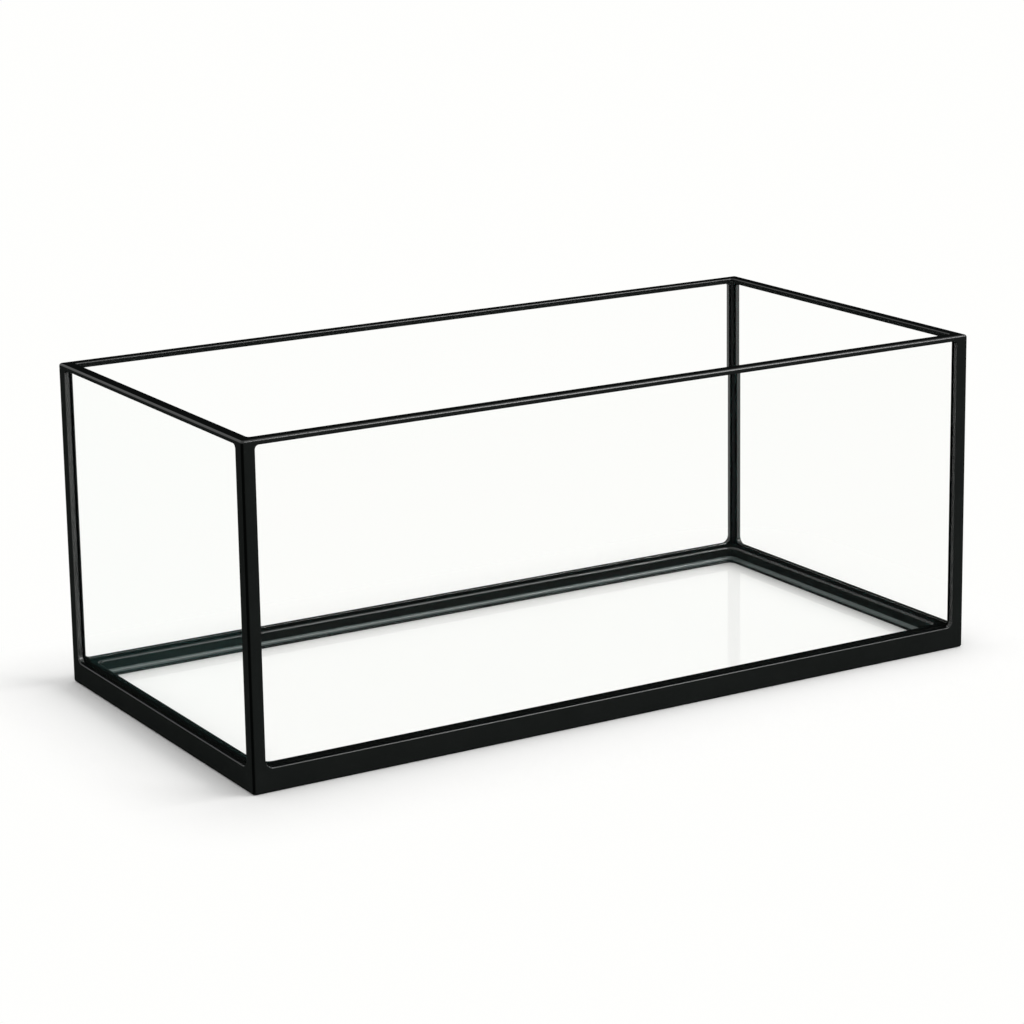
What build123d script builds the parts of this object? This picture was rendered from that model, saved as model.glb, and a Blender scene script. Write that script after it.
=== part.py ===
from build123d import *
import os

# Glass aquarium in a slim black metal frame, open at the top. All sizes are in millimetres.
# X runs along the front, Y from front to back and Z up. The origin is on the ground,
# at the middle of the footprint. An inset is a distance in from the outer faces of the frame.

# Overall size
length = 600.0
width = 300.0
height = 242.0

# Glass
wall_glass = 4.0
floor_glass = 5.0
glass_arris = 0.4

# Frame profile shared by base rails, rim rails and corner posts
frame_wall = 4.2
plan_corner_radius = 2.4
outer_edge_round = 2.0
inner_edge_round = 1.0
window_edge_round = 1.0
window_inner_bevel = 0.5
post_leg = 10.0
foot_flare_radius = 6.0
head_flare_radius = 3.0

# Base rail
base_height = 17.3
base_web = 1.4
lip_wall = 7.4
lip_round = 2.5
lip_corner_radius = 6.0
key_chamber_height = 3.8
groove_web = 1.2
floor_stop_wall = 1.4

# Rim rail
rim_height = 4.0
rim_top_wall = 1.2
rim_lip_wall = 1.0
rim_corner_radius = 2.0
rim_lower_bevel = 0.4

# Seats of the post ends in the rails
foot_seat_depth = 3.0
head_seat_depth = 1.5
seat_margin = 1.5

# Corner keys
key_leg = 32.0
key_lead_in = 0.8

# Fits
glass_clearance = 0.2
pane_seam = 0.3
top_clearance = 0.3
key_clearance = 0.1
pane_bed = 1.0
floor_bed = 0.5
floor_bed_width = 4.0

# Sealant beads
corner_bead_leg = 2.0
floor_bead_leg = 3.2
bead_hollow = 0.5

# Values worked out from the sizes above
groove_outer_inset = frame_wall
groove_inner_inset = groove_outer_inset + wall_glass + 2 * glass_clearance
lip_inset = groove_inner_inset + lip_wall
groove_floor_z = base_web + key_chamber_height + groove_web
floor_bed_z = base_web
floor_pane_z = floor_bed_z + floor_bed
floor_top_z = floor_pane_z + floor_glass
floor_groove_top_z = floor_top_z + glass_clearance
floor_stop_inset = groove_inner_inset + floor_stop_wall
floor_pane_inset = floor_stop_inset + pane_seam
rim_z = height - rim_height
rim_groove_top_z = height - rim_top_wall
rim_inset = groove_inner_inset + rim_lip_wall
glass_outer_inset = groove_outer_inset + glass_clearance
glass_inner_inset = glass_outer_inset + wall_glass
pane_z = groove_floor_z + pane_bed
pane_top_z = rim_groove_top_z - top_clearance
post_seat_span = post_leg + foot_flare_radius + seat_margin
post_foot_z = base_height - foot_seat_depth
post_head_z = rim_z + head_seat_depth
mitre_reach = lip_inset + seat_margin
key_outer_inset = groove_outer_inset + key_clearance
key_inner_inset = groove_inner_inset - key_clearance
key_z = base_web + key_clearance
key_top_z = base_web + key_chamber_height - key_clearance
key_span = key_outer_inset + key_leg
margin = 5.0
tolerance = 0.01

SIDES = ("front", "back", "left", "right")
CORNERS = {
    "front_left": (-1, -1),
    "front_right": (1, -1),
    "back_left": (-1, 1),
    "back_right": (1, 1),
}


def outline(inset, radius=0.0, mode=Mode.ADD):
    """Draws the frame's plan rectangle, moved in by inset, with round corners if a radius is given."""
    if radius > 0:
        RectangleRounded(length - 2 * inset, width - 2 * inset, radius, mode=mode)
    else:
        Rectangle(length - 2 * inset, width - 2 * inset, mode=mode)


def band(outer_inset, inner_inset, low_z, high_z, outer_radius=0.0, inner_radius=0.0, mode=Mode.ADD):
    """Adds or cuts a closed band between two insets and two heights."""
    with BuildSketch(Plane.XY.offset(low_z)) as region:
        outline(outer_inset, outer_radius)
        outline(inner_inset, inner_radius, Mode.SUBTRACT)
    extrude(region.sketch, amount=high_z - low_z, mode=mode)


def window_outline(clear_span):
    """Draws one side's clear opening, with wide round lower corners and small upper ones."""
    with BuildSketch() as opening:
        with Locations((0, (base_height + rim_z) / 2)):
            Rectangle(clear_span, rim_z - base_height)
        fillet(opening.vertices().group_by(Axis.Y)[0], foot_flare_radius)
        fillet(opening.vertices().group_by(Axis.Y)[-1], head_flare_radius)
    return opening.sketch


def inset_of(edge):
    """How far an edge's middle lies in from the nearest outer face."""
    middle = edge @ 0.5
    return min(length / 2 - abs(middle.X), width / 2 - abs(middle.Y))


def is_window_edge(edge):
    """True for an edge of a window in the outer wall, which is clear of the wall's foot and top."""
    box = edge.bounding_box()
    return box.min.Z > base_height / 2 and box.max.Z < height - tolerance


def is_corner_edge(edge):
    """True for an upright edge where the two legs of a corner key meet."""
    middle = edge @ 0.5
    inset_x = length / 2 - abs(middle.X)
    inset_y = width / 2 - abs(middle.Y)
    return abs(inset_x - inset_y) < tolerance


def edges_at(builder, level, beyond_inset):
    """The level edges at one height that lie further in than a given inset."""
    level_edges = builder.edges().filter_by_position(Axis.Z, level - tolerance, level + tolerance)
    return level_edges.filter_by(lambda e: inset_of(e) > beyond_inset + tolerance)


def mitre_outline(side):
    """Draws the plan region of one rail, whose ends run at 45 degrees through the frame's corners."""
    long_side = side in ("front", "back")
    across = (length if long_side else width) / 2
    away = (width if long_side else length) / 2
    facing = -1 if side in ("front", "left") else 1
    points = [
        (-across - margin, facing * (away + margin)),
        (across + margin, facing * (away + margin)),
        (across - mitre_reach, facing * (away - mitre_reach)),
        (-across + mitre_reach, facing * (away - mitre_reach)),
    ]
    if not long_side:
        points = [(y, x) for x, y in points]
    Polygon(*points, align=None)


def save(part, name):
    """Names a finished piece and writes its file."""
    part.label = name
    export_step(part, f"parts/{name}.step")


os.makedirs("parts", exist_ok=True)

# Frame, still in one piece
# The thin outer wall, with a window in each side and the window's outer edges rounded
with BuildPart() as outer_wall:
    band(0, frame_wall, 0, height, plan_corner_radius)
    for plane, clear_span in ((Plane.XZ, length - 2 * post_leg), (Plane.YZ, width - 2 * post_leg)):
        with BuildSketch(plane):
            add(window_outline(clear_span))
        extrude(amount=length, both=True, mode=Mode.SUBTRACT)
    for axis, span in ((Axis.Y, width), (Axis.X, length)):
        for face in (-span / 2, span / 2):
            on_face = outer_wall.edges().filter_by_position(axis, face - tolerance, face + tolerance)
            fillet(on_face.filter_by(is_window_edge), window_edge_round)
    for axis, span in ((Axis.Y, width), (Axis.X, length)):
        for face in (frame_wall - span / 2, span / 2 - frame_wall):
            on_face = outer_wall.edges().filter_by_position(axis, face - tolerance, face + tolerance)
            chamfer(on_face.filter_by(is_window_edge), window_inner_bevel)

# Inner part of the base: web, key chamber, deep wall groove, side groove for the floor, and lip
with BuildPart() as base_core:
    band(frame_wall, lip_inset, 0, base_height, 0, lip_corner_radius)
    band(groove_outer_inset, groove_inner_inset, base_web, base_web + key_chamber_height, mode=Mode.SUBTRACT)
    band(groove_outer_inset, groove_inner_inset, groove_floor_z, base_height, mode=Mode.SUBTRACT)
    with BuildSketch(Plane.XY.offset(base_web)):
        outline(floor_stop_inset)
    extrude(amount=floor_groove_top_z - base_web, mode=Mode.SUBTRACT)
    fillet(edges_at(base_core, base_height, groove_inner_inset), lip_round)

# Inner part of the rim: the top wall and the short inner lip that cap the glass
with BuildPart() as rim_core:
    band(frame_wall, rim_inset, rim_z, height, 0, rim_corner_radius)
    band(groove_outer_inset, groove_inner_inset, rim_z, rim_groove_top_z, mode=Mode.SUBTRACT)
    chamfer(edges_at(rim_core, rim_z, groove_inner_inset), rim_lower_bevel)

with BuildPart() as frame_blank:
    add(outer_wall.part)
    add(base_core.part)
    add(rim_core.part)
    fillet(edges_at(frame_blank, height, frame_wall), inner_edge_round)
    for level in (0, height):
        outer_loop = edges_at(frame_blank, level, -1).filter_by(lambda e: inset_of(e) < frame_wall)
        fillet(outer_loop, outer_edge_round)

# Corner posts, whose flared ends are let into the outer wall of the rails
corner_posts = {}
for corner, (side_x, side_y) in CORNERS.items():
    seat_centre = (side_x * (length - post_seat_span) / 2, side_y * (width - post_seat_span) / 2)
    with BuildPart() as corner_post:
        add(outer_wall.part)
        with BuildSketch(Plane.XY.offset(post_foot_z)):
            with Locations(seat_centre):
                Rectangle(post_seat_span, post_seat_span)
        extrude(amount=post_head_z - post_foot_z, mode=Mode.INTERSECT)
    corner_posts[corner] = corner_post.part
    save(corner_post.part, f"corner_post_{corner}")

# Base and rim rails, mitred at the corners and notched for the posts
for rail_kind, low_z, high_z in (("base", 0, post_head_z / 2), ("rim", post_head_z / 2, height)):
    for side in SIDES:
        with BuildPart() as rail:
            add(frame_blank.part)
            with BuildSketch(Plane.XY.offset(low_z)) as region:
                mitre_outline(side)
            extrude(region.sketch, amount=high_z - low_z, mode=Mode.INTERSECT)
            for post in corner_posts.values():
                add(post, mode=Mode.SUBTRACT)
        save(rail.part, f"{rail_kind}_rail_{side}")

# Corner keys: flat angles that join the base rails inside their chambers
for corner, (side_x, side_y) in CORNERS.items():
    with BuildPart() as corner_key:
        band(key_outer_inset, key_inner_inset, key_z, key_top_z)
        with BuildSketch(Plane.XY.offset(key_z)):
            with Locations((side_x * (length - key_span) / 2, side_y * (width - key_span) / 2)):
                Rectangle(key_span, key_span)
        extrude(amount=key_top_z - key_z, mode=Mode.INTERSECT)
        leg_ends = corner_key.edges().filter_by(Axis.Z).filter_by(lambda e: not is_corner_edge(e))
        chamfer(leg_ends, key_lead_in)
    save(corner_key.part, f"corner_key_{corner}")

# Glass walls: the side panes stand between the long ones, each on its own bed
wall_centre_x = length / 2 - glass_outer_inset - wall_glass / 2
wall_centre_y = width / 2 - glass_outer_inset - wall_glass / 2
long_span = length - 2 * glass_outer_inset
short_span = width - 2 * (glass_inner_inset + pane_seam)
WALLS = {
    "front": (long_span, wall_glass, (0, -wall_centre_y)),
    "back": (long_span, wall_glass, (0, wall_centre_y)),
    "left": (wall_glass, short_span, (-wall_centre_x, 0)),
    "right": (wall_glass, short_span, (wall_centre_x, 0)),
}
for side, (span_x, span_y, centre) in WALLS.items():
    with BuildPart() as pane:
        with BuildSketch(Plane.XY.offset(pane_z)):
            with Locations(centre):
                Rectangle(span_x, span_y)
        extrude(amount=pane_top_z - pane_z)
        chamfer(pane.edges(), glass_arris)
    save(pane.part, f"{side}_pane")
    with BuildPart() as bed:
        with BuildSketch(Plane.XY.offset(groove_floor_z)):
            with Locations(centre):
                Rectangle(span_x, span_y)
        extrude(amount=pane_bed)
    save(bed.part, f"{side}_pane_bed")

# Glass floor, with its edges in the side grooves of the base rails
with BuildPart() as floor_pane:
    with BuildSketch(Plane.XY.offset(floor_pane_z)):
        outline(floor_pane_inset)
    extrude(amount=floor_glass)
    chamfer(floor_pane.edges(), glass_arris)
save(floor_pane.part, "floor_pane")

# Soft strips between the ledges of the base rails and the floor
strip_inner_inset = floor_pane_inset + floor_bed_width
strip_centre_x = length / 2 - floor_pane_inset - floor_bed_width / 2
strip_centre_y = width / 2 - floor_pane_inset - floor_bed_width / 2
STRIPS = {
    "front": (length - 2 * floor_pane_inset, floor_bed_width, (0, -strip_centre_y)),
    "back": (length - 2 * floor_pane_inset, floor_bed_width, (0, strip_centre_y)),
    "left": (floor_bed_width, width - 2 * strip_inner_inset, (-strip_centre_x, 0)),
    "right": (floor_bed_width, width - 2 * strip_inner_inset, (strip_centre_x, 0)),
}
for side, (span_x, span_y, centre) in STRIPS.items():
    with BuildPart() as strip:
        with BuildSketch(Plane.XY.offset(floor_bed_z)):
            with Locations(centre):
                Rectangle(span_x, span_y)
        extrude(amount=floor_bed)
    save(strip.part, f"floor_bed_{side}")

# Upright sealant beads: a thin seam between two panes and a hollow fillet inside the corner
for corner, (side_x, side_y) in CORNERS.items():
    corner_x = side_x * (length / 2 - glass_inner_inset)
    corner_y = side_y * (width / 2 - glass_inner_inset)
    hollow = corner_bead_leg / 2 - bead_hollow
    with BuildPart() as corner_bead:
        with BuildSketch(Plane.XY.offset(pane_z)):
            with Locations((corner_x + side_x * wall_glass / 2, corner_y - side_y * pane_seam / 2)):
                Rectangle(wall_glass, pane_seam)
        extrude(amount=pane_top_z - pane_z)
        with BuildSketch(Plane.XY.offset(base_height)):
            with BuildLine():
                toe_x = (corner_x - side_x * corner_bead_leg, corner_y)
                toe_y = (corner_x, corner_y - side_y * corner_bead_leg)
                middle = (corner_x - side_x * hollow, corner_y - side_y * hollow)
                Polyline(toe_x, (corner_x, corner_y), toe_y)
                ThreePointArc(toe_x, middle, toe_y)
            make_face()
        extrude(amount=rim_z - base_height)
    save(corner_bead.part, f"corner_bead_{corner}")

# The sealant bead round the floor, a hollow fillet swept along the inner lip
with BuildPart() as floor_bead:
    with BuildSketch(Plane.XY.offset(floor_top_z)) as lip_outline:
        outline(lip_inset, lip_corner_radius)
    lip_foot = lip_outline.wire()
    hollow = floor_bead_leg / 2 - bead_hollow
    section_plane = Plane((0, lip_inset - width / 2, floor_top_z), x_dir=(0, 1, 0), z_dir=(1, 0, 0))
    with BuildSketch(section_plane) as section:
        with BuildLine():
            Polyline((floor_bead_leg, 0), (0, 0), (0, floor_bead_leg))
            ThreePointArc((0, floor_bead_leg), (hollow, hollow), (floor_bead_leg, 0))
        make_face()
    sweep(section.sketch, path=lip_foot, mode=Mode.REPLACE)
save(floor_bead.part, "floor_bead")
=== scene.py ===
import math

import bpy
from mathutils import Matrix, Vector


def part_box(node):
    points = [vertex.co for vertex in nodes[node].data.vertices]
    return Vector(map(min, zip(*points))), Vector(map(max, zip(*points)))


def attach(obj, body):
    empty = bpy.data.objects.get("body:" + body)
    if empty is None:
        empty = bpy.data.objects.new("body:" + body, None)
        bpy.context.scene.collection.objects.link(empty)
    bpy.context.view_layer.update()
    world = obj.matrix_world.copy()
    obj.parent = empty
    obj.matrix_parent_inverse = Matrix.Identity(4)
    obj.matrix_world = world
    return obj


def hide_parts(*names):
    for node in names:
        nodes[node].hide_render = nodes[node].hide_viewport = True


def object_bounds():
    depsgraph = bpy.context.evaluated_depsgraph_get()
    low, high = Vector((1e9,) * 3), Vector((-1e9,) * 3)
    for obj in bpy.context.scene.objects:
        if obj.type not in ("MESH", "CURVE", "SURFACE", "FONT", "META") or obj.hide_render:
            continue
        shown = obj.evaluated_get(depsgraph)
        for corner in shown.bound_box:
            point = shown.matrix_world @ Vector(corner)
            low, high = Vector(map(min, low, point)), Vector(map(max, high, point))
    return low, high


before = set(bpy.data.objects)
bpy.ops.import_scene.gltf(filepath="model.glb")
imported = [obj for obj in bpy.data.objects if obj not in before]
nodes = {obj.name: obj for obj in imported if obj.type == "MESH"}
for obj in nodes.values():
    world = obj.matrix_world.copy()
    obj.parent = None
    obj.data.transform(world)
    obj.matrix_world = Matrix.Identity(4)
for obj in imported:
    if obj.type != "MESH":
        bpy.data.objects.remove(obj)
cad_low, cad_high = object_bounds()
half_length, half_width = cad_high[0], cad_high[1]

# How far the outer faces of the glass walls lie inside the outline
glass_depth = half_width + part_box("front_pane")[0][1]

# Photograph's camera, with places in metres and angles in degrees
photo_side_px = 1024
sensor_width_mm = 36.0
camera_place = (-1.147, -1.905, 0.702)
camera_turn = 30.92
camera_dip = 12.82
camera_roll = -0.89
camera_focus_px = 3090
camera_rise_px = -102.4

# Powder coat's colours: two that it is mottled between, and a near black painted as shade down the outer
# corner rounds and on level faces
coat_dark = (0.0080, 0.0092, 0.0087)
coat_light = (0.0112, 0.0126, 0.0120)
painted_shade_black = (0.0015, 0.0018, 0.0017)

# How far level faces go towards that painted shade black
level_painted_shade = 0.7

# Powder coat's roughness, and the roughness and refractive index of its clear top layer
coat_roughness = 0.52
coat_roughness_spread = 0.08
top_layer_roughness = 0.25
top_layer_index = 1.65

# Share of the top layer on round edges that face up
edge_gleam = 0.56

# The base rails' inner lip, by its distance from the outline, and the share of gleam that all but the
# right rail's loses
lip_start = 0.010
lip_end = 0.013
lip_loss = 0.40

# Window reveals, which end between these distances from the outline, and the share of gleam that the
# upright ones at the front lose
reveal_start = 0.93 * glass_depth
reveal_end = 0.86 * glass_depth
front_window_loss = 0.55

# Limits of the powder coat's masks, from none to all, on parts of the surface normal
round_edge = (0.98, 0.87)
leaning_up = (0.1, 0.4)
level_face = (0.93, 0.99)
upright_face = (0.5, 0.2)
inward_face = (0.7, 0.95)
outward_face = (0.2, 0.5)
sideways_face = (0.3, 0.7)
lip_not_facing_left = (-0.5, -0.2)

# Glass: its refractive index, and the tint it gives at each face to what shows through it
glass_index = 1.5
glass_tint = (0.9952, 0.9960, 0.9932)

# Share that the glass reflects seen square on
glass_veil = 0.0008

# What walls and floor reflect seen edge-on: the share, its colour and its blur
sheen_power = 5
wall_reflection = 0.12
wall_sheen = (0.30, 1.0, 0.94)
wall_blur = 0.05
floor_reflection = 0.50
floor_sheen = (0.97, 1.0, 0.99)
floor_blur = 0.07

# Cured silicone: two colours that it is mottled between, and its gloss
black_sealant = ((0.0030, 0.0036, 0.0036), (0.0060, 0.0070, 0.0070))
black_sealant_gloss = 0.15
grey_sealant = ((0.050, 0.064, 0.061), (0.085, 0.108, 0.103))
grey_sealant_gloss = 0.5

# Tooled sealant bead round the floor, with lengths in metres and the angle in degrees
lip_corner_radius = 0.006
corner_steps = 8
straight_step = 0.008
bead_leg = 0.0025
bead_unevenness = 0.14
bead_wave = 0.045
bead_seed = 7
bead_arc_steps = 7
bead_crease_angle = 40

# Studio: whites, the floor's half side, and the distances from the outline where its shadow fades away
pure_white = (1.0, 1.0, 1.0)
backdrop_white = (0.9965, 0.9965, 0.985)
floor_white = (0.955, 0.955, 0.945)
floor_half = 6.0
shadow_start = 0.015
shadow_end = 0.105
inner_shadow_start = 0.0
inner_shadow_end = 0.06
inner_whitening = 0.88

# Light: the even light from all round, and for each lamp its place, aim, size and glow
world_fill = 0.8
gleam_lamp = ((1.25, -1.3, 1.9), (0, 0, 0.1), (1.2, 0.88), 13.0)
side_lamp = ((2.6, -1.6, 2.1), (0, 0, 0), (2.25, 2.25), 3.9)


class Value:
    """A node's socket that can be used in plain arithmetic."""

    def __init__(self, tree, socket):
        self.tree = tree
        self.socket = socket

    def _math(self, operation, *values):
        return self.tree.add("ShaderNodeMath", {"operation": operation}, dict(enumerate(values)))

    def __add__(self, other):
        return self._math("ADD", self, other)

    def __radd__(self, other):
        return self._math("ADD", other, self)

    def __sub__(self, other):
        return self._math("SUBTRACT", self, other)

    def __rsub__(self, other):
        return self._math("SUBTRACT", other, self)

    def __mul__(self, other):
        return self._math("MULTIPLY", self, other)

    def __rmul__(self, other):
        return self._math("MULTIPLY", other, self)

    def __rtruediv__(self, other):
        return self._math("DIVIDE", other, self)

    def __pow__(self, other):
        return self._math("POWER", self, other)

    def smaller(self, other):
        return self._math("MINIMUM", self, other)

    def larger(self, other):
        return self._math("MAXIMUM", self, other)

    def size(self):
        return self._math("ABSOLUTE", self)

    def sign(self):
        return self._math("SIGN", self)

    def sine(self):
        return self._math("SINE", self)

    def cosine(self):
        return self._math("COSINE", self)

    def below(self, limit):
        return self._math("LESS_THAN", self, limit)

    def also(self, output):
        """Another output of the same node."""
        return Value(self.tree, self.socket.node.outputs[output])

    def ramp(self, low, high, low_out=0.0, high_out=1.0):
        """Goes smoothly from low_out to high_out as this value goes from low to high."""
        settings = {"interpolation_type": "SMOOTHSTEP"}
        return self.tree.add("ShaderNodeMapRange", settings,
                             {0: self, 1: low, 2: high, 3: low_out, 4: high_out})


class Tree:
    """The nodes of a material, of the world or of a geometry group."""

    def __init__(self, node_tree):
        self.nodes = node_tree.nodes
        self.links = node_tree.links
        self.nodes.clear()

    def add(self, kind, settings=None, inputs=None, output=0):
        """Adds one node: its settings first, then its inputs as plain values or links."""
        node = self.nodes.new(kind)
        for name, value in (settings or {}).items():
            setattr(node, name, value)
        for key, value in (inputs or {}).items():
            if isinstance(value, Value):
                self.links.new(value.socket, node.inputs[key])
            else:
                node.inputs[key].default_value = value
        return None if output is None else Value(self, node.outputs[output])

    def coordinates(self, kind="Object"):
        return self.add("ShaderNodeTexCoord", output=kind)

    def parts_of(self, vector):
        """The X, Y and Z of a vector as three values."""
        split = self.add("ShaderNodeSeparateXYZ", {}, {0: vector})
        return [split.also(axis) for axis in range(3)]

    def noise(self, vector, scale, detail, roughness=0.5):
        inputs = {"Vector": vector, "Scale": scale, "Detail": detail, "Roughness": roughness}
        return self.add("ShaderNodeTexNoise", {}, inputs)

    def mix_colour(self, factor, first, second):
        """Between two colours; the node has many sockets of the same names, so they go by number."""
        settings = {"data_type": "RGBA"}
        return self.add("ShaderNodeMix", settings, {0: factor, 6: first, 7: second}, output=2)

    def mix_shader(self, factor, first, second):
        return self.add("ShaderNodeMixShader", {}, {0: factor, 1: first, 2: second})

    def bump(self, height, distance, strength):
        inputs = {"Strength": strength, "Distance": distance, "Height": height}
        return self.add("ShaderNodeBump", {}, inputs)

    def surface(self, shader):
        self.add("ShaderNodeOutputMaterial", {}, {"Surface": shader}, output=None)


def rgba(colour):
    return (*colour, 1.0)


def new_material(name):
    material = bpy.data.materials.new(name)
    material.use_nodes = True
    return material, Tree(material.node_tree)


def powder_coat():
    """Satin black powder coat: matt flats, a thin gleam on round edges, clearer window reveals, and painted
    shade that darkens level faces and the outer corner rounds.
    """
    material, tree = new_material("black_powder_coat")
    place = tree.coordinates()
    place_x, place_y, _ = tree.parts_of(place)
    normal_x, normal_y, normal_z = tree.parts_of(tree.coordinates("Normal"))
    flatness = normal_x.size().larger(normal_y.size()).larger(normal_z.size())
    inset = (half_length - place_x.size()).smaller(half_width - place_y.size())
    inward = (-1 * normal_x * place_x.sign()).larger(-1 * normal_y * place_y.sign())
    upright = normal_z.size().ramp(*upright_face)

    dull_lip = inset.ramp(lip_start, lip_end) * normal_x.ramp(*lip_not_facing_left)
    top_edge = flatness.ramp(*round_edge) * normal_z.ramp(*leaning_up) * (1 - lip_loss * dull_lip)
    window_side = inward.ramp(*inward_face) * upright * inset.ramp(reveal_start, reveal_end)
    front_reveal = normal_x.size().ramp(*sideways_face) * place_y.below(0)
    window_gleam = window_side * (1 - front_window_loss * front_reveal)
    # Painted shade: the base colour goes to near black down the outer corner rounds, as a dark crease, and
    # partly on level faces
    painted_corner_crease = (-1 * inward).ramp(*outward_face) * upright
    painted_shade = painted_corner_crease.larger(level_painted_shade * normal_z.ramp(*level_face))

    cloud = tree.noise(place, scale=35.0, detail=3.0)
    grain = tree.noise(place, scale=2600.0, detail=2.0, roughness=0.6)
    colour = tree.mix_colour(cloud, rgba(coat_dark), rgba(coat_light))
    tree.surface(tree.add("ShaderNodeBsdfPrincipled", {}, {
        "Base Color": tree.mix_colour(painted_shade, colour, rgba(painted_shade_black)),
        "Roughness": coat_roughness + coat_roughness_spread * (cloud - 0.5),
        "IOR": 1.5,
        "Specular IOR Level": 0.0,
        "Coat Weight": (edge_gleam * top_edge).larger(window_gleam),
        "Coat Roughness": top_layer_roughness,
        "Coat IOR": top_layer_index,
        "Normal": tree.bump(grain, distance=0.00004, strength=0.35),
    }))
    return material


def glass(name, reflection, sheen, blur):
    """Clear low-reflection glass, which lets lamplight and soft light straight through."""
    material, tree = new_material(name)
    facing = tree.add("ShaderNodeLayerWeight", {}, {"Blend": 0.5}, "Facing")
    share = glass_veil + reflection * facing ** sheen_power
    clear_inputs = {"Color": rgba(glass_tint), "Roughness": 0.0, "IOR": glass_index}
    clear = tree.add("ShaderNodeBsdfRefraction", {}, clear_inputs)
    gloss = tree.add("ShaderNodeBsdfGlossy", {}, {"Color": rgba(sheen), "Roughness": blur})
    seen = tree.mix_shader(share, clear, gloss)
    ray = tree.add("ShaderNodeLightPath", output="Is Shadow Ray")
    open_air = tree.add("ShaderNodeBsdfTransparent", {}, {"Color": rgba(pure_white)})
    tree.surface(tree.mix_shader(ray.larger(ray.also("Is Diffuse Ray")), seen, open_air))
    return material


def silicone(name, colours, gloss):
    """Cured silicone, a little glossy and unevenly tooled, mottled between two colours."""
    material, tree = new_material(name)
    dark, light = colours
    place = tree.coordinates()
    wave = tree.noise(place, scale=60.0, detail=2.0)
    fine = tree.noise(place, scale=900.0, detail=2.0)
    tree.surface(tree.add("ShaderNodeBsdfPrincipled", {}, {
        "Base Color": tree.mix_colour(wave, rgba(dark), rgba(light)),
        "Roughness": 0.34 + 0.12 * wave,
        "IOR": 1.43,
        "Specular IOR Level": gloss,
        "Normal": tree.bump(wave + 0.15 * fine, distance=0.0006, strength=0.5),
    }))
    return material


def foam_strip():
    """Soft matt black foam with fine open cells."""
    material, tree = new_material("black_foam")
    place = tree.coordinates()
    cells = tree.add("ShaderNodeTexVoronoi", {"feature": "SMOOTH_F1"}, {"Vector": place, "Scale": 1400.0})
    tree.surface(tree.add("ShaderNodeBsdfPrincipled", {}, {
        "Base Color": tree.mix_colour(cells, rgba((0.012, 0.012, 0.012)), rgba((0.03, 0.03, 0.03))),
        "Roughness": 0.9,
        "Specular IOR Level": 0.2,
        "Normal": tree.bump(cells, distance=0.0003, strength=0.6),
    }))
    return material


def mill_aluminium():
    """Extruded aluminium with fine draw lines along the legs."""
    material, tree = new_material("mill_aluminium")
    place = tree.coordinates()
    stretched = tree.add("ShaderNodeMapping", {}, {"Vector": place, "Scale": (40.0, 40.0, 3000.0)})
    lines = tree.noise(stretched, scale=1.0, detail=3.0)
    tree.surface(tree.add("ShaderNodeBsdfPrincipled", {}, {
        "Base Color": tree.mix_colour(lines, rgba((0.55, 0.56, 0.57)), rgba((0.68, 0.69, 0.70))),
        "Metallic": 1.0,
        "Roughness": 0.32 + 0.16 * lines,
        "Normal": tree.bump(lines, distance=0.00005, strength=0.4),
    }))
    return material


def coat(material, *starts):
    """Gives every frame node whose name starts in one of these ways the material."""
    for name, obj in nodes.items():
        if name.startswith(starts):
            obj.data.materials.clear()
            obj.data.materials.append(material)


coat(powder_coat(), "base_rail", "rim_rail", "corner_post")
wall_glass = glass("wall_glass", wall_reflection, wall_sheen, wall_blur)
coat(wall_glass, "front_pane", "back_pane", "left_pane", "right_pane")
coat(glass("floor_glass", floor_reflection, floor_sheen, floor_blur), "floor_pane")
coat(silicone("black_silicone", black_sealant, black_sealant_gloss), "corner_bead")
coat(foam_strip(), "floor_bed", "front_pane_bed", "back_pane_bed", "left_pane_bed", "right_pane_bed")
coat(mill_aluminium(), "corner_key")


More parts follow.
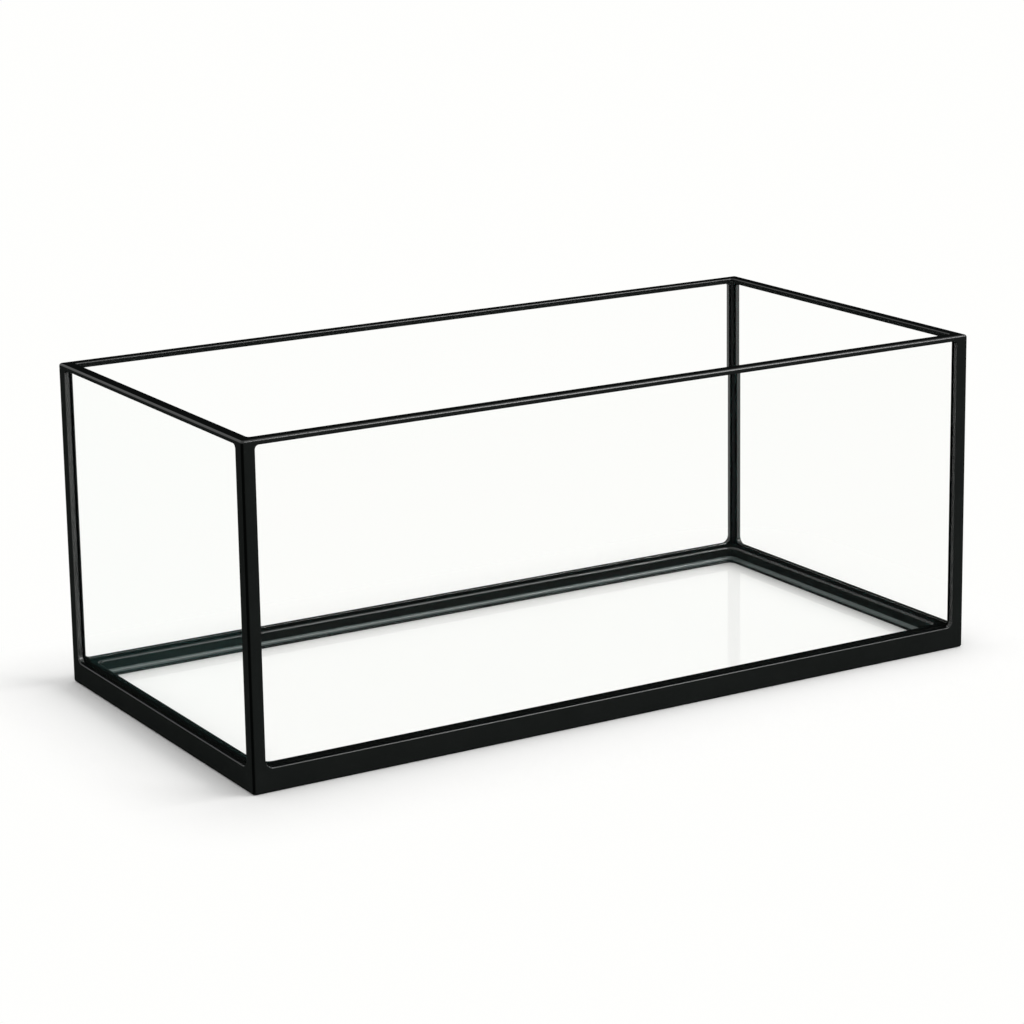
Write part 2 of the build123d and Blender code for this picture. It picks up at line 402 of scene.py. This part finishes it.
def bead_tree():
    """Geometry group that sweeps a hollow fillet along a path, uneven as a bead tooled by hand is."""
    group = bpy.data.node_groups.new("tooled_bead", "GeometryNodeTree")
    inputs = {"Path": "Geometry", "Leg": "Float", "Unevenness": "Float", "Wave": "Float",
              "Seed": "Float", "Finish": "Material"}
    for name, kind in inputs.items():
        group.interface.new_socket(name, in_out="INPUT", socket_type=f"NodeSocket{kind}")
    group.interface.new_socket("Bead", in_out="OUTPUT", socket_type="NodeSocketGeometry")
    tree = Tree(group)
    given = tree.add("NodeGroupInput", output="Path")
    leg = given.also("Leg")

    # The profile's points go round the hollow arc, and the last one lies in the corner
    index = tree.add("GeometryNodeInputIndex")
    turn = index * (math.pi / 2 / bead_arc_steps)
    on_arc = index.below(bead_arc_steps + 0.5)
    across = leg * (turn.sine() - 1) * on_arc
    down = leg * (turn.cosine() - 1) * on_arc
    line = tree.add("GeometryNodeCurvePrimitiveLine")
    count = {"Curve": line, "Count": bead_arc_steps + 2}
    points = tree.add("GeometryNodeResampleCurve", {"mode": "COUNT"}, count)
    corner = tree.add("ShaderNodeCombineXYZ", {}, {"X": across, "Y": down})
    profile = tree.add("GeometryNodeSetPosition", {}, {"Geometry": points, "Position": corner})
    closed = tree.add("GeometryNodeSetSplineCyclic", {}, {0: profile, "Cyclic": True})

    place = tree.add("GeometryNodeInputPosition")
    wave_inputs = {"Vector": place, "W": given.also("Seed"), "Scale": 1 / given.also("Wave"), "Detail": 2.0}
    wave = tree.add("ShaderNodeTexNoise", {"noise_dimensions": "4D"}, wave_inputs)
    size = 1 + given.also("Unevenness") * (2 * wave - 1)
    path = tree.add("GeometryNodeMeshToCurve", {}, {0: given})
    swept = tree.add("GeometryNodeCurveToMesh", {}, {"Curve": path, "Profile Curve": closed, "Scale": size})
    whole = tree.add("GeometryNodeRealizeInstances", {}, {0: swept})
    done = tree.add("GeometryNodeSetMaterial", {}, {"Geometry": whole, "Material": given.also("Finish")})
    tree.add("NodeGroupOutput", {}, {"Bead": done}, output=None)
    return group


def rounded_loop(half_x, half_y, level, radius):
    """Points counter-clockwise round a rectangle with round corners, close together along the sides."""
    corners = [(1, 1, 0), (-1, 1, 90), (-1, -1, 180), (1, -1, 270)]
    arcs = []
    for side_x, side_y, start in corners:
        centre = Vector((side_x * (half_x - radius), side_y * (half_y - radius), level))
        for step in range(corner_steps + 1):
            angle = math.radians(start + 90 * step / corner_steps)
            arcs.append(centre + radius * Vector((math.cos(angle), math.sin(angle), 0)))
    points = []
    for here, following in zip(arcs, arcs[1:] + arcs[:1]):
        pieces = max(1, round((following - here).length / straight_step))
        points += [here.lerp(following, piece / pieces) for piece in range(pieces)]
    return points


def grow(name, points, group, values):
    """Runs a geometry group along a closed path and keeps the result as a plain mesh."""
    path = bpy.data.meshes.new(name + "_path")
    count = len(points)
    path.from_pydata(points, [(i, (i + 1) % count) for i in range(count)], [])
    piece = bpy.data.objects.new(name, path)
    bpy.context.scene.collection.objects.link(piece)
    modifier = piece.modifiers.new("grow", "NODES")
    modifier.node_group = group
    for socket in group.interface.items_tree:
        if socket.name in values:
            modifier[socket.identifier] = values[socket.name]
    grown = bpy.data.meshes.new_from_object(piece.evaluated_get(bpy.context.evaluated_depsgraph_get()))
    piece.modifiers.remove(modifier)
    piece.data = grown
    bpy.data.meshes.remove(path)
    grown.shade_smooth()
    grown.set_sharp_from_angle(angle=math.radians(bead_crease_angle))
    return piece


def tooled_floor_bead():
    """The sealant bead round the floor, along the foot of the base rails' inner lip."""
    low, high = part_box("floor_bead")
    grey = silicone("grey_silicone", grey_sealant, grey_sealant_gloss)
    values = {"Leg": bead_leg, "Unevenness": bead_unevenness, "Wave": bead_wave,
              "Seed": float(bead_seed), "Finish": grey}
    loop = rounded_loop(high[0], high[1], low[2], lip_corner_radius)
    bead = grow("tooled_floor_bead", loop, bead_tree(), values)
    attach(bead, "root")
    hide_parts("floor_bead")


tooled_floor_bead()


def camera_sees(tree):
    """1 for the camera's rays, mirrored and refracted ones too, and 0 for all others."""
    ray = tree.add("ShaderNodeLightPath", output="Is Camera Ray")
    return ray.larger(ray.also("Is Glossy Ray")).larger(ray.also("Is Transmission Ray"))


def studio_floor():
    """Floor that is lit and shaded near the aquarium and fades into the white backdrop farther off."""
    mesh = bpy.data.meshes.new("studio_floor")
    corners = [(-floor_half, -floor_half, 0), (floor_half, -floor_half, 0),
               (floor_half, floor_half, 0), (-floor_half, floor_half, 0)]
    mesh.from_pydata(corners, [], [(0, 1, 2, 3)])
    floor = bpy.data.objects.new("studio_floor", mesh)
    bpy.context.scene.collection.objects.link(floor)
    material, tree = new_material("white_floor")
    place_x, place_y, _ = tree.parts_of(tree.coordinates())
    beyond_x = (place_x.size() - half_length).larger(0.0)
    beyond_y = (place_y.size() - half_width).larger(0.0)
    away = (beyond_x * beyond_x + beyond_y * beyond_y) ** 0.5
    inset = (half_length - place_x.size()).smaller(half_width - place_y.size())
    lit = tree.add("ShaderNodeBsdfDiffuse", {}, {"Color": rgba(floor_white)})
    white = tree.add("ShaderNodeEmission", {}, {"Color": rgba(backdrop_white), "Strength": 1.0})
    inner_fade = inset.ramp(inner_shadow_start, inner_shadow_end, 0.0, inner_whitening)
    fade = away.ramp(shadow_start, shadow_end).larger(inner_fade)
    tree.surface(tree.mix_shader(fade * camera_sees(tree), lit, white))
    floor.data.materials.append(material)


def backdrop():
    """White all round, with an even light on everything."""
    world = bpy.data.worlds.new("studio")
    bpy.context.scene.world = world
    world.use_nodes = True
    tree = Tree(world.node_tree)
    white = tree.add("ShaderNodeBackground", {}, {"Color": rgba(backdrop_white), "Strength": 1.0})
    fill = tree.add("ShaderNodeBackground", {}, {"Color": rgba(pure_white), "Strength": world_fill})
    sky = tree.mix_shader(camera_sees(tree), fill, white)
    tree.add("ShaderNodeOutputWorld", {}, {"Surface": sky}, output=None)


def softbox(name, place, aim, size, glow, gleam_only):
    """A lamp; glow is how bright its face is. It lights either only what shines or only what is matt."""
    lamp = bpy.data.lights.new(name, "AREA")
    lamp.shape = "RECTANGLE"
    width, depth = size
    lamp.size = width
    lamp.size_y = depth
    lamp.energy = math.pi * width * depth * glow
    obj = bpy.data.objects.new(name, lamp)
    bpy.context.scene.collection.objects.link(obj)
    obj.location = place
    obj.rotation_euler = (Vector(place) - Vector(aim)).to_track_quat("Z", "Y").to_euler()
    obj.visible_diffuse = not gleam_only
    obj.visible_glossy = gleam_only


studio_floor()
backdrop()
softbox("gleam_softbox", *gleam_lamp, gleam_only=True)
softbox("side_softbox", *side_lamp, gleam_only=False)


def photograph_camera():
    """The photograph's camera, with a small shift of the lens."""
    camera = bpy.data.objects.new("photo_camera", bpy.data.cameras.new("photo_camera"))
    bpy.context.scene.collection.objects.link(camera)
    camera.data.sensor_width = sensor_width_mm
    camera.data.lens = camera_focus_px / photo_side_px * sensor_width_mm
    camera.data.shift_y = camera_rise_px / photo_side_px
    turn = Matrix.Rotation(-math.radians(camera_turn), 4, "Z")
    tilt = Matrix.Rotation(math.radians(90 - camera_dip), 4, "X")
    roll = Matrix.Rotation(math.radians(camera_roll), 4, "Z")
    camera.matrix_world = Matrix.Translation(camera_place) @ turn @ tilt @ roll
    bpy.context.scene.camera = camera


photograph_camera()
bpy.context.scene.view_settings.view_transform = "Standard"
